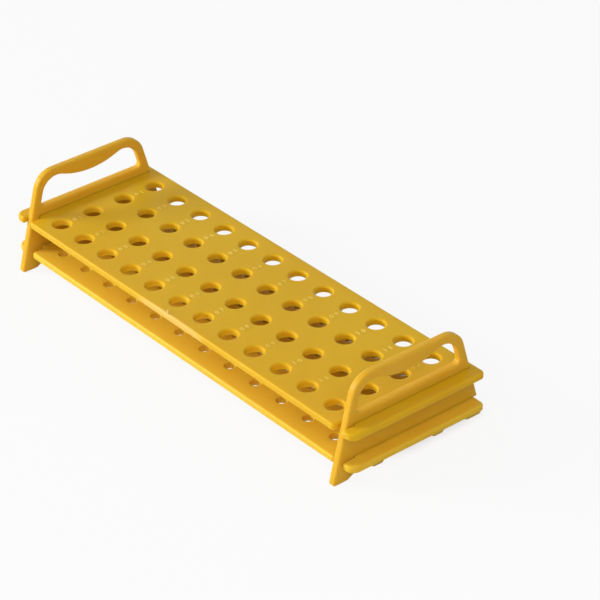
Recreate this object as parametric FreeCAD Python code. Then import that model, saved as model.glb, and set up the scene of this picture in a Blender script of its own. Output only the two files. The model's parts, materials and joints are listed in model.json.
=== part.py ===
import FreeCAD, Part
import math
import os

from FreeCAD import Vector

# Two-tier rack for microcentrifuge tubes, moulded in polypropylene: an upper and a lower tray
# slid sideways into slits in two end frames, each with a carrying handle above and feet below.
# Millimetres. The origin is on the bench under the middle of the rack, X runs along its length.

# Tube positions
hole_pitch = 25.0
hole_columns = 12
hole_rows = 4
tube_hole_diameter = 11.4
tube_rim_round = 1.5
tip_hole_diameter = 6.6
tip_rim_round = 0.8

# Trays
tray_thickness = 4.3
side_margin = 14.6
end_margin = 17.9
ear_projection = 9.5
ear_corner_radius = 3.5
ear_tip_radius = 6.0
ear_notch_radius = 1.5
notch_depth = 9.6
notch_corner_radius = 2.0
tray_top_edge_round = 1.4
tray_bottom_edge_round = 0.6

# Heights above the bench
lower_tray_top = 15.0
upper_tray_top = 37.7
handle_top = 68.0

# End frames
frame_thickness = 5.0
frame_half_width = 48.4
leg_splay = 0.272
leg_bar_width = 6.0
handle_corner_radius = 15.0
frame_edge_round = 1.2
crossbar_height = 6.0

# Hand opening
grip_thickness = 5.8
grip_middle_thickness = 11.0
opening_top_radius = 12.0
opening_bottom_radius = 3.0

# Feet and rail under the lower tray
rail_clearance = 5.0
foot_width = 11.4
foot_slope_run = 9.2
foot_corner_radius = 1.6
pad_position = 23.6
pad_width = 9.6
pad_corner_radius = 2.4
rail_corner_radius = 1.6

# Fits between trays and frames
slit_height_clearance = 0.2
slit_end_clearance = 0.3
notch_ear_clearance = 0.1
notch_inner_clearance = 2.4

# Sizes that follow from the values above
tray_half_width = (hole_rows - 1) * hole_pitch / 2 + side_margin
frame_inner_x = (hole_columns - 1) * hole_pitch / 2 + end_margin
frame_outer_x = frame_inner_x + frame_thickness
tray_half_length = frame_outer_x + notch_ear_clearance + ear_projection
notch_root = tray_half_width - notch_depth
slit_end = notch_root + slit_end_clearance
notch_root_radius = slit_end_clearance


def frame_half_width_at(height):
    """Half width over the splayed legs at a height above the bench."""
    return frame_half_width + leg_splay * (upper_tray_top - height)


def arc(centre, start, end):
    """Edge along the shorter arc round a centre."""
    radius = (start - centre).Length
    middle = centre + ((start - centre) + (end - centre)).normalize() * radius
    return Part.Arc(start, middle, end).toShape()


def rounded_outline(corners):
    """Closed wire through corners given as (point, radius), each rounded where its radius isn't 0."""
    starts = []
    ends = []
    arcs = []
    for index, (corner, radius) in enumerate(corners):
        to_last = (corners[index - 1][0] - corner).normalize()
        to_next = (corners[(index + 1) % len(corners)][0] - corner).normalize()
        if radius == 0:
            starts.append(corner)
            ends.append(corner)
            arcs.append(None)
            continue
        half_angle = to_last.getAngle(to_next) / 2
        start = corner + to_last * (radius / math.tan(half_angle))
        end = corner + to_next * (radius / math.tan(half_angle))
        centre = corner + (to_last + to_next).normalize() * (radius / math.sin(half_angle))
        starts.append(start)
        ends.append(end)
        arcs.append(arc(centre, start, end))
    edges = []
    for index, corner_arc in enumerate(arcs):
        if corner_arc:
            edges.append(corner_arc)
        following = starts[(index + 1) % len(starts)]
        edges.append(Part.LineSegment(ends[index], following).toShape())
    return Part.Wire(edges)


def tray_outline(bottom):
    """Outline of a tray: an ear beyond each frame, and a notch on one side for the leg it meets."""
    notch_end = frame_outer_x + notch_ear_clearance
    notch_start = frame_inner_x - notch_inner_clearance
    half = [
        (tray_half_length, tray_half_width, ear_corner_radius),
        (tray_half_length, -tray_half_width, ear_tip_radius),
        (notch_end, -tray_half_width, ear_notch_radius),
        (notch_end, -notch_root, notch_root_radius),
        (notch_start, -notch_root, notch_root_radius),
        (notch_start, -tray_half_width, notch_corner_radius),
    ]
    corners = [(Vector(x, y, bottom), radius) for x, y, radius in half]
    corners += [(Vector(-x, y, bottom), radius) for x, y, radius in reversed(half)]
    return rounded_outline(corners)


def hole_positions():
    """Centres of the tube positions, row by row."""
    for row in range(hole_rows):
        for column in range(hole_columns):
            x = (column - (hole_columns - 1) / 2) * hole_pitch
            y = (row - (hole_rows - 1) / 2) * hole_pitch
            yield x, y


def lies_at(edge, height):
    """Whether an edge is level and at the given height."""
    box = edge.BoundBox
    return box.ZLength < 1e-6 and abs(box.ZMin - height) < 1e-6


def tray(top, hole_diameter, rim_round):
    """One moulded tray with its grid of holes, rounded where a tube goes in."""
    bottom = top - tray_thickness
    plate = Part.Face(tray_outline(bottom)).extrude(Vector(0, 0, tray_thickness))
    for height, radius in ((top, tray_top_edge_round), (bottom, tray_bottom_edge_round)):
        edges = [edge for edge in plate.Edges if lies_at(edge, height)]
        plate = plate.makeFillet(radius, edges)
    holes = [
        Part.makeCylinder(hole_diameter / 2, tray_thickness, Vector(x, y, bottom))
        for x, y in hole_positions()
    ]
    plate = plate.cut(Part.makeCompound(holes))
    rims = [
        edge
        for edge in plate.Edges
        if lies_at(edge, top) and edge.Curve.TypeId == "Part::GeomCircle"
    ]
    return plate.makeFillet(rim_round, rims)


def frame_outline(x):
    """Outline of an end frame: handle corners, splayed legs, feet and the pads between them."""
    half = [
        (frame_half_width_at(handle_top), handle_top, handle_corner_radius),
        (frame_half_width_at(0), 0, foot_corner_radius),
        (frame_half_width_at(0) - foot_width, 0, foot_corner_radius),
        (frame_half_width_at(0) - foot_width - foot_slope_run, rail_clearance, rail_corner_radius),
        (pad_position + pad_width / 2, rail_clearance, rail_corner_radius),
        (pad_position + pad_width / 2, 0, pad_corner_radius),
        (pad_position - pad_width / 2, 0, pad_corner_radius),
        (pad_position - pad_width / 2, rail_clearance, rail_corner_radius),
    ]
    corners = [(Vector(x, y, z), radius) for y, z, radius in half]
    corners += [(Vector(x, -y, z), radius) for y, z, radius in reversed(half)]
    return rounded_outline(corners)


def hand_opening_outline(x):
    """Outline of the hand opening: sides along the legs, and a grip that swells in the middle."""
    bottom = upper_tray_top + crossbar_height
    top = handle_top - grip_thickness
    slant = math.hypot(1, leg_splay)
    corner_z = top - opening_top_radius
    corner_y = frame_half_width_at(corner_z) - leg_bar_width - opening_top_radius * slant
    swell_bottom = handle_top - grip_middle_thickness
    rise = swell_bottom - corner_z
    swell_radius = (corner_y**2 + rise**2 - opening_top_radius**2) / (
        2 * (opening_top_radius - rise)
    )
    swell_centre = Vector(x, 0, swell_bottom + swell_radius)
    edges = []
    swell_ends = []
    side_ends = []
    for side in (1, -1):
        centre = Vector(x, side * corner_y, corner_z)
        swell_end = centre + (swell_centre - centre).normalize() * opening_top_radius
        outward = Vector(0, side, leg_splay) * (opening_top_radius / slant)
        edges.append(arc(centre, swell_end, centre + outward))
        swell_ends.append(swell_end)
        side_ends.append(centre + outward)
    edges.append(arc(swell_centre, swell_ends[0], swell_ends[1]))
    foot_y = frame_half_width_at(bottom) - leg_bar_width
    feet = [Vector(x, foot_y, bottom), Vector(x, -foot_y, bottom)]
    lower_starts = []
    for side_end, foot, other in ((side_ends[0], feet[0], feet[1]), (side_ends[1], feet[1], feet[0])):
        up = (side_end - foot).normalize()
        along = (other - foot).normalize()
        half_angle = up.getAngle(along) / 2
        reach = opening_bottom_radius / math.tan(half_angle)
        centre = foot + (up + along).normalize() * (opening_bottom_radius / math.sin(half_angle))
        edges.append(Part.LineSegment(side_end, foot + up * reach).toShape())
        edges.append(arc(centre, foot + up * reach, foot + along * reach))
        lower_starts.append(foot + along * reach)
    edges.append(Part.LineSegment(lower_starts[0], lower_starts[1]).toShape())
    return Part.Wire(Part.__sortEdges__(edges))


def tray_slit(tray_top):
    """Space for a tray in a frame, open through one leg so that the tray slides in sideways."""
    height = tray_thickness + slit_height_clearance
    corner = Vector(frame_inner_x, -slit_end, tray_top - tray_thickness)
    return Part.makeBox(frame_thickness, slit_end + frame_half_width_at(0), height, corner)


def end_frame(side):
    """One moulded end frame, at the +X end for side 1 and at the -X end for side -1."""
    through = Vector(frame_thickness, 0, 0)
    plate = Part.Face(frame_outline(frame_inner_x)).extrude(through)
    plate = plate.cut(Part.Face(hand_opening_outline(frame_inner_x)).extrude(through))
    edges = [edge for edge in plate.Edges if edge.BoundBox.XLength < 1e-6]
    plate = plate.makeFillet(frame_edge_round, edges)
    plate = plate.cut([tray_slit(upper_tray_top), tray_slit(lower_tray_top)])
    if side < 0:
        plate = plate.mirror(Vector(0, 0, 0), Vector(1, 0, 0))
    return plate


def export(shape, node):
    """Write one node as a STEP file."""
    shape.exportStep("parts/" + node + ".step")


os.makedirs("parts", exist_ok=True)
export(tray(upper_tray_top, tube_hole_diameter, tube_rim_round), "upper_tray")
export(tray(lower_tray_top, tip_hole_diameter, tip_rim_round), "lower_tray")
export(end_frame(-1), "left_end_frame")
export(end_frame(1), "right_end_frame")
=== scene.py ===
import json
import math

import bmesh
import bpy
from mathutils import Matrix, Vector


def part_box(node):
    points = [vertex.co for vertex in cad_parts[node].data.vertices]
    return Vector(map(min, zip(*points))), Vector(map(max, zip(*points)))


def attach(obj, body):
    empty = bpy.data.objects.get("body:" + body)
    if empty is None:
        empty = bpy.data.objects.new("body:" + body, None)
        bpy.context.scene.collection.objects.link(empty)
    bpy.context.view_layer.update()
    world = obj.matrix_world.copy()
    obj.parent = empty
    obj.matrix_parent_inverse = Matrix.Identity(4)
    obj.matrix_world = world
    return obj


# Camera, at the photograph's viewing angle
CAMERA_PLACE = (1.1430, -0.8728, 0.9289)
CAMERA_TARGET = (0.0259, 0.0280, 0.0296)
CAMERA_ROLL = 1.18
CAMERA_LENS = 162.9
SENSOR_WIDTH = 36.0

# Moulded polypropylene, as (light, deep) shades mixed at random: the frames and the upper tray differ a
# little from each other
YELLOW = ((0.775, 0.474, 0.014), (0.745, 0.423, 0.011))
# The lower tray's paler colour is painted light: it stands in for more light on the lower tray than the
# lamps give it.
YELLOW_LOWER_PAINTED_LIGHT = ((0.865, 0.560, 0.045), (0.830, 0.500, 0.036))
YELLOW_FRAME = ((0.790, 0.468, 0.034), (0.755, 0.418, 0.027))
# The raised numbers' pale shade is a painted highlight, standing in for light on their raised faces;
# their deep shade is the upper tray's own yellow.
YELLOW_MARK_AND_HIGHLIGHT = ((0.970, 0.720, 0.140), (0.776, 0.475, 0.014))
YELLOW_GATE = ((0.950, 0.740, 0.280), (0.900, 0.660, 0.180))
EDGE_HIGHLIGHT_COLOUR = (0.830, 0.530, 0.110)
DEEPEST = 0.55

# Surface of the mouldings: roughness from the glossy patches to the duller scuffs, and relief
GLOSS_BAND = (0.30, 0.36)
IOR = 1.49
SPECULAR_LEVEL = 0.10
WAVE_STRENGTH = 0.16
WAVE_HEIGHT = 0.0006
GRAIN_STRENGTH = 0.12
GRAIN_HEIGHT = 0.00008

# Light that enters the plastic: its share, and how far it travels
TRANSLUCENCY = 0.8
TRAVEL = 0.004
TRAVEL_BY_COLOUR = (1.0, 0.75, 0.3)

# Raised column numbers on the upper tray, read from the +X end
DIGIT_HEIGHT = 0.0036
DIGIT_WIDTH = 0.0025
DIGIT_STEP = 0.0042
DIGIT_RELIEF = 0.00022
FONT_SIZE = 0.005
MARK_OFFSET = (0.0008, -0.0005)
MARKED_ROWS = (1, 3)

# Gate of the upper tray: a nub left on its -Y edge. The paler colour along the edge round it is a
# painted highlight, standing in for light reflected on that edge
GATE_PLACE = (-0.0055, -0.0512)
GATE_RADIUS = 0.0007
GATE_TAPER = 0.7
GATE_HEIGHT = 0.0027
GATE_SINK = 0.0003
EDGE_HIGHLIGHT_OFFSET = (0.003, -0.0009, -0.002)
EDGE_HIGHLIGHT_REACH = (0.036, 0.0019, 0.006)
EDGE_HIGHLIGHT_FADE = 0.3

# Lights and surroundings
KEY_DIRECTION = (-0.667, -0.662, 0.341)
KEY_DISTANCE = 3.0
KEY_SIZE = 1.0
KEY_POWER = 74.5
FILL_DIRECTION = (0.60, -0.42, 0.68)
FILL_DISTANCE = 1.8
FILL_SIZE = 1.2
FILL_POWER = 11.5
SKY = 0.30
FLOOR_WIDTH = 16.0
FLOOR_DROP = 0.0002
FLOOR_COLOUR = 0.80
FLOOR_ROUGHNESS = 0.9
FLOOR_GLOW = 0.90

# Floor that the rack covers, seen at its real shade: middle, and half sizes of full and of no shade
COVER_MIDDLE = (0.0, 0.024)
COVER_FULL = (0.130, 0.020)
COVER_NONE = (0.165, 0.042)


def links(tree, *pairs):
    """Join node sockets given as (from, to) pairs."""
    for start, end in pairs:
        tree.links.new(start, end)


def new_material(name):
    """A node material with only its output and a Principled shader."""
    material = bpy.data.materials.new(name)
    material.use_nodes = True
    tree = material.node_tree
    tree.nodes.clear()
    output = tree.nodes.new("ShaderNodeOutputMaterial")
    shader = tree.nodes.new("ShaderNodeBsdfPrincipled")
    links(tree, (shader.outputs["BSDF"], output.inputs["Surface"]))
    return material, tree, shader


def noise(tree, coordinates, scale, detail, stretch=(1.0, 1.0, 1.0)):
    """Noise in object space, with features about 1 / scale metres across."""
    mapping = tree.nodes.new("ShaderNodeMapping")
    mapping.inputs["Scale"].default_value = stretch
    texture = tree.nodes.new("ShaderNodeTexNoise")
    texture.inputs["Scale"].default_value = scale
    texture.inputs["Detail"].default_value = detail
    links(
        tree,
        (coordinates.outputs["Object"], mapping.inputs["Vector"]),
        (mapping.outputs["Vector"], texture.inputs["Vector"]),
    )
    return texture.outputs["Fac"]


def spread(tree, value, low, high, start=0.35, end=0.65):
    """Map start..end of a value onto low..high. The defaults are the span that most noise covers."""
    span = tree.nodes.new("ShaderNodeMapRange")
    span.inputs["From Min"].default_value = start
    span.inputs["From Max"].default_value = end
    span.inputs["To Min"].default_value = low
    span.inputs["To Max"].default_value = high
    links(tree, (value, span.inputs["Value"]))
    return span.outputs["Result"]


def calculate(tree, operation, *terms):
    """Result of a maths operation on terms that are sockets or numbers."""
    node = tree.nodes.new("ShaderNodeMath")
    node.operation = operation
    for term, socket in zip(terms, node.inputs):
        if isinstance(term, float):
            socket.default_value = term
        else:
            links(tree, (term, socket))
    return node.outputs["Value"]


def painted_edge_highlight(tree, coordinates, place):
    """1 on the painted highlight along the edge round the gate, falling to 0 at its reach."""
    mapping = tree.nodes.new("ShaderNodeMapping")
    mapping.vector_type = "TEXTURE"
    mapping.inputs["Location"].default_value = place
    mapping.inputs["Scale"].default_value = EDGE_HIGHLIGHT_REACH
    ball = tree.nodes.new("ShaderNodeTexGradient")
    ball.gradient_type = "SPHERICAL"
    links(
        tree,
        (coordinates.outputs["Object"], mapping.inputs["Vector"]),
        (mapping.outputs["Vector"], ball.inputs["Vector"]),
    )
    return spread(tree, ball.outputs["Fac"], 0.0, 1.0, start=0.0, end=EDGE_HIGHLIGHT_FADE)


def blend(tree, factor, first, second, target):
    """Mix two colours, each given as a socket or a value, into a target socket."""
    mix = tree.nodes.new("ShaderNodeMix")
    mix.data_type = "RGBA"
    links(tree, (factor, mix.inputs["Factor"]), (mix.outputs["Result"], target))
    for side, colour in (("A", first), ("B", second)):
        if isinstance(colour, tuple):
            mix.inputs[side].default_value = (*colour, 1.0)
        else:
            links(tree, (colour, mix.inputs[side]))
    return mix.outputs["Result"]


def uneven_normal(tree, coordinates, shader):
    """Slow waves of a moulded face, with a fine grain on them."""
    waves = tree.nodes.new("ShaderNodeBump")
    waves.inputs["Strength"].default_value = WAVE_STRENGTH
    waves.inputs["Distance"].default_value = WAVE_HEIGHT
    grain = tree.nodes.new("ShaderNodeBump")
    grain.inputs["Strength"].default_value = GRAIN_STRENGTH
    grain.inputs["Distance"].default_value = GRAIN_HEIGHT
    links(
        tree,
        (noise(tree, coordinates, scale=55.0, detail=2.0), waves.inputs["Height"]),
        (noise(tree, coordinates, scale=2600.0, detail=2.0), grain.inputs["Height"]),
        (waves.outputs["Normal"], grain.inputs["Normal"]),
        (grain.outputs["Normal"], shader.inputs["Normal"]),
    )


def polypropylene(name, shades, translucency, edge_highlight_place=None):
    """Semi-gloss moulded polypropylene: uneven pigment, flow waviness, fine grain and duller scuffs."""
    material, tree, shader = new_material(name)
    coordinates = tree.nodes.new("ShaderNodeTexCoord")
    pigment = noise(tree, coordinates, scale=22.0, detail=3.0, stretch=(0.6, 1.0, 1.0))
    colour = blend(tree, spread(tree, pigment, 0.0, DEEPEST), *shades, shader.inputs["Base Color"])
    # Optional painted highlight: paler colour along the upper tray's -Y edge round the gate, standing
    # in for light reflected there.
    if edge_highlight_place:
        edge_highlight = painted_edge_highlight(tree, coordinates, edge_highlight_place)
        blend(tree, edge_highlight, colour, EDGE_HIGHLIGHT_COLOUR, shader.inputs["Base Color"])
    scuffs = noise(tree, coordinates, scale=60.0, detail=2.0, stretch=(0.7, 1.0, 1.0))
    links(tree, (spread(tree, scuffs, *GLOSS_BAND), shader.inputs["Roughness"]))
    uneven_normal(tree, coordinates, shader)
    shader.inputs["IOR"].default_value = IOR
    shader.inputs["Specular IOR Level"].default_value = SPECULAR_LEVEL
    shader.inputs["Subsurface Weight"].default_value = translucency
    shader.inputs["Subsurface Radius"].default_value = TRAVEL_BY_COLOUR
    shader.inputs["Subsurface Scale"].default_value = TRAVEL
    return material


def dress(obj, material):
    """Give an object one material in all its slots."""
    for slot in obj.material_slots:
        slot.material = material
    if not obj.material_slots:
        obj.data.materials.append(material)


def holes_by_place(record):
    """Centres of the tube holes by (row, column), read from the record's mounts."""
    places = {}
    for mount in record["mounts"]:
        if mount["name"].startswith("tube_hole_r"):
            row, column = mount["name"].removeprefix("tube_hole_r").split("c")
            places[int(row), int(column)] = Vector(mount["pos_m"])
    return places


def digit_mesh(digit):
    """One raised digit lying round the origin, with its foot towards +X."""
    curve = bpy.data.curves.new("digit", "FONT")
    curve.body = digit
    curve.size = FONT_SIZE
    curve.extrude = DIGIT_RELIEF / 2
    curve.bevel_depth = DIGIT_RELIEF / 2
    curve.bevel_resolution = 2
    curve.resolution_u = 4
    holder = bpy.data.objects.new("digit", curve)
    mesh = bpy.data.meshes.new_from_object(holder)
    bpy.data.objects.remove(holder)
    low = [min(v.co[i] for v in mesh.vertices) for i in range(2)]
    high = [max(v.co[i] for v in mesh.vertices) for i in range(2)]
    middle = Vector(((low[0] + high[0]) / 2, (low[1] + high[1]) / 2, 0.0))
    across = min(DIGIT_WIDTH / (high[0] - low[0]), DIGIT_HEIGHT / (high[1] - low[1]))
    mesh.transform(
        Matrix.Rotation(math.pi / 2, 4, "Z")
        @ Matrix.Diagonal((across, DIGIT_HEIGHT / (high[1] - low[1]), 1.0, 1.0))
        @ Matrix.Translation(-middle)
    )
    return mesh


def column_numbers(record, top, material):
    """One piece with the raised numbers of all columns, in the gaps between the paired rows."""
    places = holes_by_place(record)
    columns = max(column for row, column in places)
    digits = {digit: digit_mesh(digit) for digit in "0123456789"}
    shape = bmesh.new()
    for row in MARKED_ROWS:
        for column in range(1, columns + 1):
            middle = (places[row, column] + places[row + 1, column]) / 2
            for side, digit in zip((-0.5, 0.5), f"{column:02d}"):
                x = middle.x + MARK_OFFSET[0]
                y = middle.y + MARK_OFFSET[1] + side * DIGIT_STEP
                copy = digits[digit].copy()
                copy.transform(Matrix.Translation((x, y, top)))
                shape.from_mesh(copy)
    data = bpy.data.meshes.new("column_numbers")
    shape.to_mesh(data)
    shape.free()
    for polygon in data.polygons:
        polygon.use_smooth = False
    data.materials.append(material)
    piece = bpy.data.objects.new("column_numbers", data)
    bpy.context.scene.collection.objects.link(piece)
    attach(piece, "root")


def gate_vestige(foot, material):
    """The nub left where the moulding was cut from its runner."""
    bpy.ops.mesh.primitive_cone_add(
        vertices=24,
        radius1=GATE_RADIUS,
        radius2=GATE_RADIUS * GATE_TAPER,
        depth=GATE_HEIGHT,
        location=(*GATE_PLACE, foot + GATE_HEIGHT / 2),
    )
    piece = bpy.context.object
    piece.name = "gate_vestige"
    piece.data.materials.append(material)
    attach(piece, "root")


def is_seen(tree):
    """1 for camera, glossy and transmission rays, 0 for the diffuse rays that light the rack."""
    rays = tree.nodes.new("ShaderNodeLightPath").outputs
    direct = calculate(tree, "MAXIMUM", rays["Is Camera Ray"], rays["Is Glossy Ray"])
    return calculate(tree, "MAXIMUM", direct, rays["Is Transmission Ray"])


def uncovered(tree):
    """1 on the open floor, falling softly to 0 on the floor that the rack stands over."""
    coordinates = tree.nodes.new("ShaderNodeTexCoord")
    split = tree.nodes.new("ShaderNodeSeparateXYZ")
    links(tree, (coordinates.outputs["Object"], split.inputs["Vector"]))
    covers = []
    for axis, middle, full, none in zip("XY", COVER_MIDDLE, COVER_FULL, COVER_NONE):
        away = calculate(tree, "SUBTRACT", split.outputs[axis], middle)
        distance = calculate(tree, "ABSOLUTE", away)
        covers.append(spread(tree, distance, 1.0, 0.0, start=full, end=none))
    return calculate(tree, "SUBTRACT", 1.0, calculate(tree, "MULTIPLY", *covers))


def make_floor():
    """Floor that lights the rack as white paper does, and is seen nearly white with a soft shadow."""
    bpy.ops.mesh.primitive_plane_add(size=FLOOR_WIDTH, location=(0.0, 0.0, -FLOOR_DROP))
    floor = bpy.context.object
    floor.name = "floor"
    material, tree, shader = new_material("white_floor")
    shader.inputs["Base Color"].default_value = (FLOOR_COLOUR, FLOOR_COLOUR, FLOOR_COLOUR, 1.0)
    shader.inputs["Roughness"].default_value = FLOOR_ROUGHNESS
    shader.inputs["Specular IOR Level"].default_value = 0.0
    glow = tree.nodes.new("ShaderNodeEmission")
    mix = tree.nodes.new("ShaderNodeMixShader")
    bright = calculate(tree, "MULTIPLY", is_seen(tree), uncovered(tree))
    links(
        tree,
        (calculate(tree, "MULTIPLY", bright, FLOOR_GLOW), mix.inputs["Fac"]),
        (shader.outputs["BSDF"], mix.inputs[1]),
        (glow.outputs["Emission"], mix.inputs[2]),
        (mix.outputs["Shader"], tree.nodes["Material Output"].inputs["Surface"]),
    )
    floor.data.materials.append(material)


def make_world():
    """A plain sky that fills the shadows, seen as white."""
    world = bpy.data.worlds.new("studio")
    bpy.context.scene.world = world
    world.use_nodes = True
    tree = world.node_tree
    background = tree.nodes["Background"]
    background.inputs["Color"].default_value = (1.0, 1.0, 1.0, 1.0)
    strength = tree.nodes.new("ShaderNodeMapRange")
    strength.inputs["To Min"].default_value = SKY
    strength.inputs["To Max"].default_value = 1.0
    links(
        tree,
        (is_seen(tree), strength.inputs["Value"]),
        (strength.outputs["Result"], background.inputs["Strength"]),
    )


def area_light(name, direction, distance, size, power):
    """A square soft box that faces the rack."""
    data = bpy.data.lights.new(name, "AREA")
    data.size = size
    data.energy = power
    light = bpy.data.objects.new(name, data)
    bpy.context.scene.collection.objects.link(light)
    way = Vector(direction).normalized()
    light.location = way * distance
    light.rotation_euler = (-way).to_track_quat("-Z", "Y").to_euler()


def make_camera():
    """The camera, looking from the +X, -Y side and from above."""
    data = bpy.data.cameras.new("camera")
    data.lens = CAMERA_LENS
    data.sensor_width = SENSOR_WIDTH
    camera = bpy.data.objects.new("camera", data)
    bpy.context.scene.collection.objects.link(camera)
    camera.location = CAMERA_PLACE
    look = Vector(CAMERA_TARGET) - Vector(CAMERA_PLACE)
    turn = look.to_track_quat("-Z", "Y").to_matrix() @ Matrix.Rotation(
        math.radians(-CAMERA_ROLL), 3, "Z"
    )
    camera.rotation_euler = turn.to_euler()
    bpy.context.scene.camera = camera


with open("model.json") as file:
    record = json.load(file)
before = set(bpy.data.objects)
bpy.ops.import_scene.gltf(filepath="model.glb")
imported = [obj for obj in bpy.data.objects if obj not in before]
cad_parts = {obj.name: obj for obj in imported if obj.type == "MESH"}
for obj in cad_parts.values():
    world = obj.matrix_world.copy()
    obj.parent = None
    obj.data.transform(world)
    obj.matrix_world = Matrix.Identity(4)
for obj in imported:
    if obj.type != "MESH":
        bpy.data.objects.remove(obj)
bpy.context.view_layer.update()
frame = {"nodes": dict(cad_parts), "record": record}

tray_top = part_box("upper_tray")[1].z
# Middle of the painted highlight on the upper tray's -Y edge, beside the gate.
edge_highlight_place = tuple(a + b for a, b in zip((*GATE_PLACE, tray_top), EDGE_HIGHLIGHT_OFFSET))
frames = polypropylene("frame_polypropylene", YELLOW_FRAME, TRANSLUCENCY)
upper = polypropylene("upper_polypropylene_with_highlight", YELLOW, TRANSLUCENCY, edge_highlight_place)
# The lower tray's paler colour is painted light.
lower = polypropylene("lower_polypropylene_painted_light", YELLOW_LOWER_PAINTED_LIGHT, TRANSLUCENCY)
# The raised numbers' pale shade is a painted highlight.
highlighted_marks = polypropylene("raised_polypropylene_with_highlight", YELLOW_MARK_AND_HIGHLIGHT, translucency=0.0)
nub = polypropylene("gate_polypropylene", YELLOW_GATE, translucency=0.0)
for name, node in frame["nodes"].items():
    dress(node, {"upper_tray": upper, "lower_tray": lower}.get(name, frames))

column_numbers(frame["record"], tray_top, highlighted_marks)
gate_vestige(tray_top - GATE_SINK, nub)

make_floor()
make_world()
area_light("key", KEY_DIRECTION, KEY_DISTANCE, KEY_SIZE, KEY_POWER)
area_light("fill", FILL_DIRECTION, FILL_DISTANCE, FILL_SIZE, FILL_POWER)
make_camera()
bpy.context.scene.view_settings.view_transform = "Standard"
